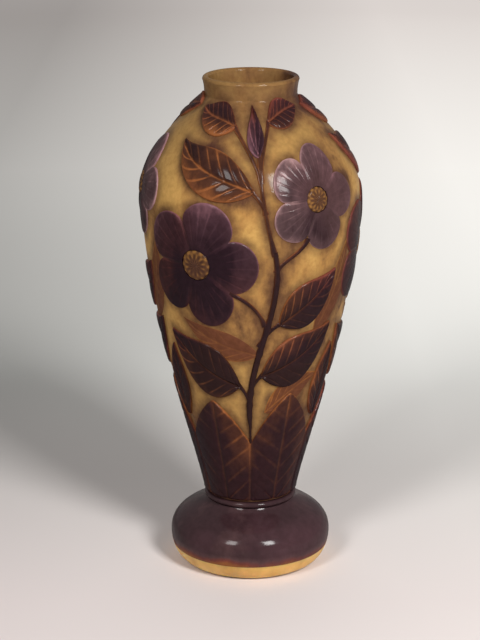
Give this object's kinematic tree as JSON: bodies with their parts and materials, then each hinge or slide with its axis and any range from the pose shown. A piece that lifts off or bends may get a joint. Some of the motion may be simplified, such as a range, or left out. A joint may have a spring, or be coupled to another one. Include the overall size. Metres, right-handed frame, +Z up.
{
  "type": "baluster vase",
  "caption": "Footed baluster vase in amber glass with raised plum and russet overlay flowers, a short collar and an open mouth.",
  "frame": {"origin": "on the vase's axis, at the plane of the ring it stands on", "axes": "+Z up along the vase's axis, -Y towards the side the picture shows"},
  "size_m": [0.113, 0.1117, 0.257],
  "materials": {
    "casing_amber": "satin amber glass, slightly translucent",
    "sheath_plum": "polished dark plum overlay glass",
    "blossom_plum": "polished plum overlay glass",
    "leaf_russet": "polished russet overlay glass",
    "stem_brown": "polished dark brown overlay glass",
    "eye_ochre": "polished ochre glass"
  },
  "bodies": {
    "root": {"body_casing": "casing_amber", "joining_wafer": "sheath_plum", "foot_core": "casing_amber", "foot_overlay": "sheath_plum", "base_sheath": "sheath_plum", "spray1_stem": "stem_brown", "spray1_bud": "blossom_plum", "spray1_blossom_large": "blossom_plum", "spray1_blossom_small": "blossom_plum", "spray1_eye_large": "eye_ochre", "spray1_eye_small": "eye_ochre", "spray1_leaf_low_left": "leaf_russet", "spray1_leaf_low_right": "leaf_russet", "spray1_leaf_low_middle": "leaf_russet", "spray1_leaf_mid_right": "leaf_russet", "spray1_leaf_high_left": "leaf_russet", "spray1_leaf_top_left": "leaf_russet", "spray1_leaf_top_right": "leaf_russet", "spray2_stem": "stem_brown", "spray2_bud": "blossom_plum", "spray2_blossom_large": "blossom_plum", "spray2_blossom_small": "blossom_plum", "spray2_eye_large": "eye_ochre", "spray2_eye_small": "eye_ochre", "spray2_leaf_low_left": "leaf_russet", "spray2_leaf_low_right": "leaf_russet", "spray2_leaf_low_middle": "leaf_russet", "spray2_leaf_mid_right": "leaf_russet", "spray2_leaf_high_left": "leaf_russet", "spray2_leaf_top_left": "leaf_russet", "spray2_leaf_top_right": "leaf_russet", "spray3_stem": "stem_brown", "spray3_bud": "blossom_plum", "spray3_blossom_large": "blossom_plum", "spray3_blossom_small": "blossom_plum", "spray3_eye_large": "eye_ochre", "spray3_eye_small": "eye_ochre", "spray3_leaf_low_left": "leaf_russet", "spray3_leaf_low_right": "leaf_russet", "spray3_leaf_low_middle": "leaf_russet", "spray3_leaf_mid_right": "leaf_russet", "spray3_leaf_high_left": "leaf_russet", "spray3_leaf_top_left": "leaf_russet", "spray3_leaf_top_right": "leaf_russet"}
  },
  "joints": []
}
